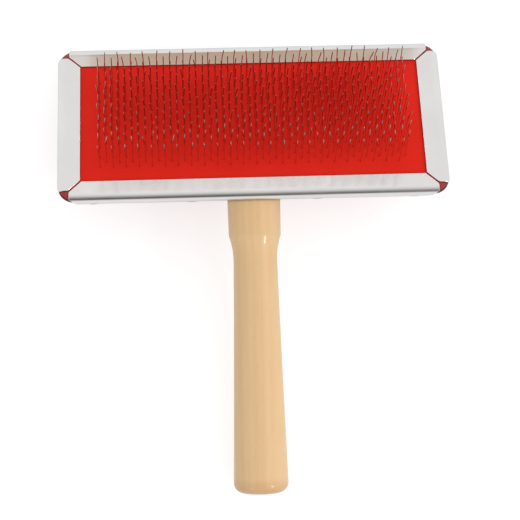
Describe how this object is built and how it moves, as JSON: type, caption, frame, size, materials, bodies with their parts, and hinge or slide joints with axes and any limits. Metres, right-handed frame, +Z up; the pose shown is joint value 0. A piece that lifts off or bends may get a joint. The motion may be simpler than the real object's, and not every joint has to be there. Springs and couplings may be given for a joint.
{
  "type": "slicker brush",
  "caption": "Pet slicker brush: red pinned pad on a flat bevelled board, folded tinplate rim with mitred corners, and a turned wooden handle set back at an angle.",
  "frame": {"origin": "centre of the flat back of the head board", "axes": "+X along the head's long side, to the right when the pins face the viewer and the handle points down; +Y from the handle towards the head, level with the table; +Z up when the brush lies on its back, resting on the board's far back edge and the handle's butt. The head leans back 18.8 degrees from the table."},
  "size_m": [0.12, 0.1408, 0.0422],
  "materials": {
    "red_lacquered_wood": "gloss red lacquer",
    "white_felt": "pressed wool felt",
    "cotton_cloth": "plain woven, unbleached",
    "red_rubber": "smooth satin",
    "tinplate": "bright tinplate",
    "tack_steel": "bright",
    "pin_wire": "drawn steel wire",
    "screw_steel": "zinc plated",
    "lacquered_beech": "clear gloss lacquer"
  },
  "bodies": {
    "root": {"head_board": "red_lacquered_wood", "felt_cushion": "white_felt", "pad_backing": "cotton_cloth", "pad_facing": "red_rubber", "pin_row_01": "pin_wire", "pin_row_02": "pin_wire", "pin_row_03": "pin_wire", "pin_row_04": "pin_wire", "pin_row_05": "pin_wire", "pin_row_06": "pin_wire", "pin_row_07": "pin_wire", "pin_row_08": "pin_wire", "pin_row_09": "pin_wire", "pin_row_10": "pin_wire", "rim_rail_far": "tinplate", "rim_rail_near": "tinplate", "rim_rail_left": "tinplate", "rim_rail_right": "tinplate", "rim_tacks": "tack_steel", "handle": "lacquered_beech", "handle_screw": "screw_steel"}
  },
  "joints": []
}
